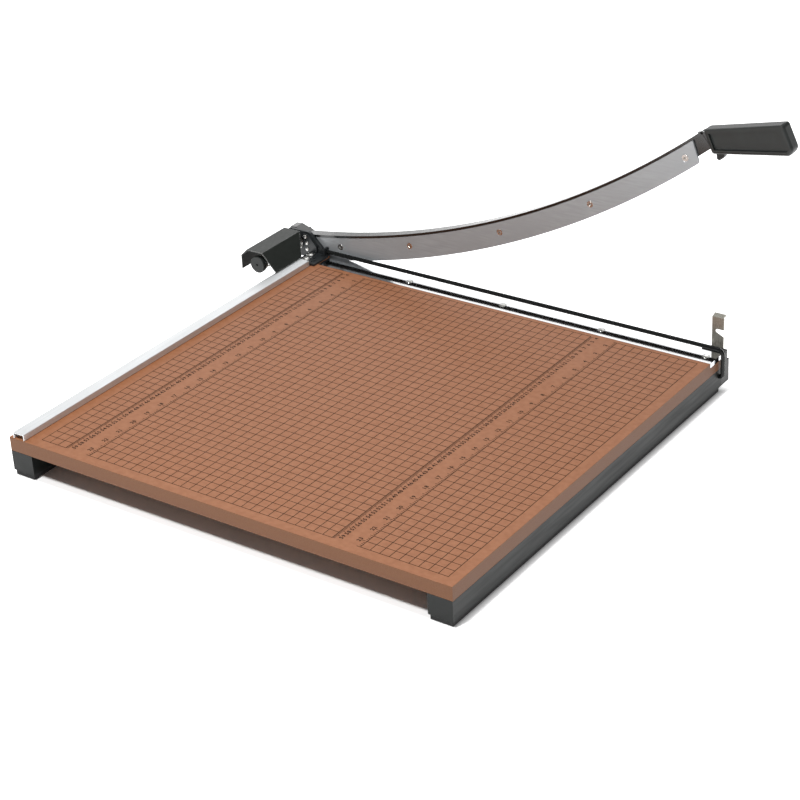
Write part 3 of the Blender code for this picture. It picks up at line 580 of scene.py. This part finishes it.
def moulded(name, colour, roughness):
    """Plastic with the fine texture of a spark-eroded mould."""
    mat, tree, shader = new_material(name, roughness)
    spark = noise(tree, 2100.0, detail=2.0)
    haze = spread(tree, noise(tree, 55.0), 0.35, 0.70)
    tree.links.new(blend_colours(tree, haze, colour, shade(colour, 1.6)),
                   shader.inputs["Base Color"])
    tree.links.new(spread(tree, spark, 0.3, 0.7, roughness - 0.07, roughness + 0.07),
                   shader.inputs["Roughness"])
    add_bump(tree, shader, spark, 0.30, 0.0002)
    return mat


finish_node("handle", moulded("grip_plastic", GRIP, 0.42))
finish_node("spring_cap", moulded("cap_plastic", shade(GRIP, 1.3), 0.60))

# ------------------------------------------------------------------ latch hook
# A hook stamped from bare spring steel, slightly brown from its heat treatment, with a bent tab on top
# to push with. It swings on a headed pin in the latch block.
HOOK = (0.400, 0.385, 0.335)
finish_node("latch_hook", ground_steel("hook_steel", HOOK, shade(HOOK, 0.55), 0.18, 0.30,
                                       (1.0, 1.0, 0.05), 0.60))

# ------------------------------------------------------------------ floor, light and camera
# A plain pale floor that glows outside the board's outline, lit by one small key lamp and two broad soft
# ones. The camera has a long focal length and looks down on the board's left front corner.
FLOOR = (0.93, 0.93, 0.93)
FLOOR_SIZE = 9.0
FLOOR_DROP = 0.0005                      # below the rubber strips
FLOOR_GLOW = 0.90
GLOW_EDGE = (-0.004, 0.014)              # from the board's outline: where the glow starts and is full
CAMERA_PLACE = (-1.83325, -1.35587, 1.27134)
CAMERA_HEADING = radians(36.211)
CAMERA_TILT = radians(28.330)
CAMERA_ROLL = radians(-3.054)
CAMERA_LENS = 94.825
CAMERA_SENSOR = 36.0
CAMERA_REACH = 50.0
SKY_FADE = (0.10, 0.20)                  # heights above the horizon, between which the sky dims
SKY_STRENGTH = (1.0, 0.20)               # at the horizon, and overhead
LAMPS = (                                # name, place, side of the square and watts
    ("key", (-1.30, 0.05, 2.50), 0.30, 70.0),
    ("overhead", (0.1, 0.2, 2.5), 1.8, 14.0),
    ("back", (2.3, 1.7, 1.7), 2.4, 24.0),
)


def maths(tree, operation, one, two):
    """A sum on two values, each a number or another step's result."""
    step = tree.nodes.new("ShaderNodeMath")
    step.operation = operation
    for socket, value in zip(step.inputs, (one, two)):
        if isinstance(value, float):
            socket.default_value = value
        else:
            tree.links.new(value, socket)
    return step.outputs["Value"]


def outside_board(tree):
    """How far a place on the floor lies outside the board's outline, less than zero under it."""
    place = tree.nodes.new("ShaderNodeTexCoord")
    split = tree.nodes.new("ShaderNodeSeparateXYZ")
    tree.links.new(place.outputs["Object"], split.inputs["Vector"])
    reaches = []
    for axis, name in enumerate("XY"):
        middle = (board_low[axis] + board_high[axis]) / 2
        half = (board_high[axis] - board_low[axis]) / 2
        from_middle = maths(tree, "ABSOLUTE", maths(tree, "SUBTRACT", split.outputs[name], middle), 0.0)
        reaches.append(maths(tree, "SUBTRACT", from_middle, half))
    return maths(tree, "MAXIMUM", *reaches)


def floor_finish():
    mat, tree, shader = new_material("floor_paper", 0.9)
    faint = spread(tree, noise(tree, 3.0), 0.3, 0.7)
    tree.links.new(blend_colours(tree, faint, FLOOR, shade(FLOOR, 0.99)),
                   shader.inputs["Base Color"])
    shader.inputs["Emission Color"].default_value = (1.0, 1.0, 1.0, 1.0)
    tree.links.new(spread(tree, outside_board(tree), *GLOW_EDGE, 0.0, FLOOR_GLOW),
                   shader.inputs["Emission Strength"])
    return mat


def lay_floor():
    def build(bm):
        bmesh.ops.create_grid(bm, x_segments=1, y_segments=1, size=FLOOR_SIZE)
    sheet = new_piece("floor", build, floor_finish())
    sheet.location.z = -FLOOR_DROP


def hang_lamp(name, place, size, power):
    """A square lamp aimed at the middle of the cutter's footprint."""
    lamp = bpy.data.lights.new(name, "AREA")
    lamp.size = size
    lamp.energy = power
    light = bpy.data.objects.new(name, lamp)
    light.location = place
    light.rotation_euler = (-Vector(place)).to_track_quat("-Z", "Y").to_euler()
    bpy.context.scene.collection.objects.link(light)


def set_camera():
    forward = Vector((cos(CAMERA_TILT) * cos(CAMERA_HEADING), cos(CAMERA_TILT) * sin(CAMERA_HEADING),
                      -sin(CAMERA_TILT)))
    level = Vector((sin(CAMERA_HEADING), -cos(CAMERA_HEADING), 0.0))
    upright = level.cross(forward)
    right = level * cos(CAMERA_ROLL) + upright * sin(CAMERA_ROLL)
    top = right.cross(forward)
    data = bpy.data.cameras.new("camera")
    data.lens = CAMERA_LENS
    data.sensor_width = CAMERA_SENSOR
    data.clip_end = CAMERA_REACH
    camera = bpy.data.objects.new("camera", data)
    turn = Matrix((right, top, -forward)).transposed().to_4x4()
    camera.matrix_world = Matrix.Translation(CAMERA_PLACE) @ turn
    bpy.context.scene.collection.objects.link(camera)
    bpy.context.scene.camera = camera


def set_sky():
    world = bpy.data.worlds.new("studio")
    world.use_nodes = True
    tree = world.node_tree
    background = tree.nodes["Background"]
    background.inputs["Color"].default_value = (1.0, 1.0, 1.0, 1.0)
    place = tree.nodes.new("ShaderNodeTexCoord")
    split = tree.nodes.new("ShaderNodeSeparateXYZ")
    tree.links.new(place.outputs["Generated"], split.inputs["Vector"])
    tree.links.new(spread(tree, split.outputs["Z"], *SKY_FADE, *SKY_STRENGTH),
                   background.inputs["Strength"])
    bpy.context.scene.world = world


lay_floor()
set_sky()
for lamp in LAMPS:
    hang_lamp(*lamp)
set_camera()
bpy.context.scene.view_settings.view_transform = "Standard"
